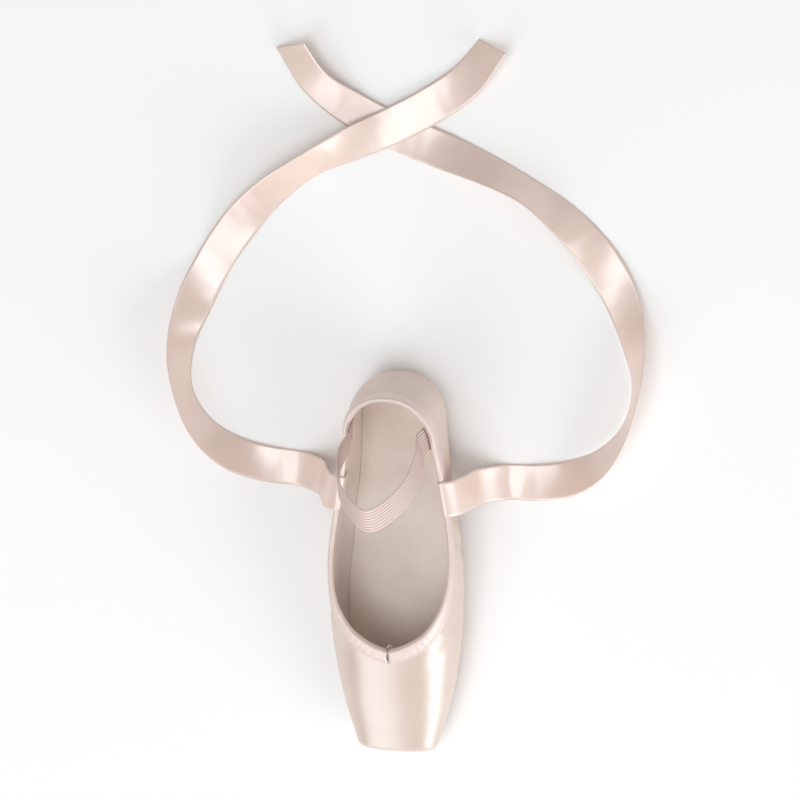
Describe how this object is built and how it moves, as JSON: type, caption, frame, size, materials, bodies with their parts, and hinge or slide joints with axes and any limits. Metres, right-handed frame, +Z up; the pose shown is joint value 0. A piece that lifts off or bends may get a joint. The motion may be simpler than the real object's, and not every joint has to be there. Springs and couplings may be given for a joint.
{
  "type": "pointe shoe",
  "caption": "Satin ballet pointe shoe with a square platform toe box, V throat with drawstring slit, bound collar, short leather outsole, ankle elastic and loose ribbons.",
  "frame": {"origin": "on the floor, midway between the back of the heel and the platform at the toe, on the shoe's middle plane", "axes": "+X towards the toe, +Y across to the wearer's left when the toe points forward, +Z up"},
  "size_m": [0.4361, 0.2889, 0.1102],
  "materials": {
    "satin": "pale pink satin weave, strong sheen along the shoe",
    "binding": "bias cut satin casing, slightly gathered",
    "cord": "matt braided cotton",
    "leather": "pale pink suede leather, scored at the forefoot",
    "insole": "matt cotton over card",
    "elastic": "ribbed mesh elastic",
    "ribbon": "single-faced satin ribbon with woven edges"
  },
  "bodies": {
    "root": {"upper": "satin", "binding": "binding", "drawstring": "cord", "outsole": "leather", "insole": "insole", "elastic": "elastic", "ribbon_right": "ribbon", "ribbon_left": "ribbon"}
  },
  "joints": []
}
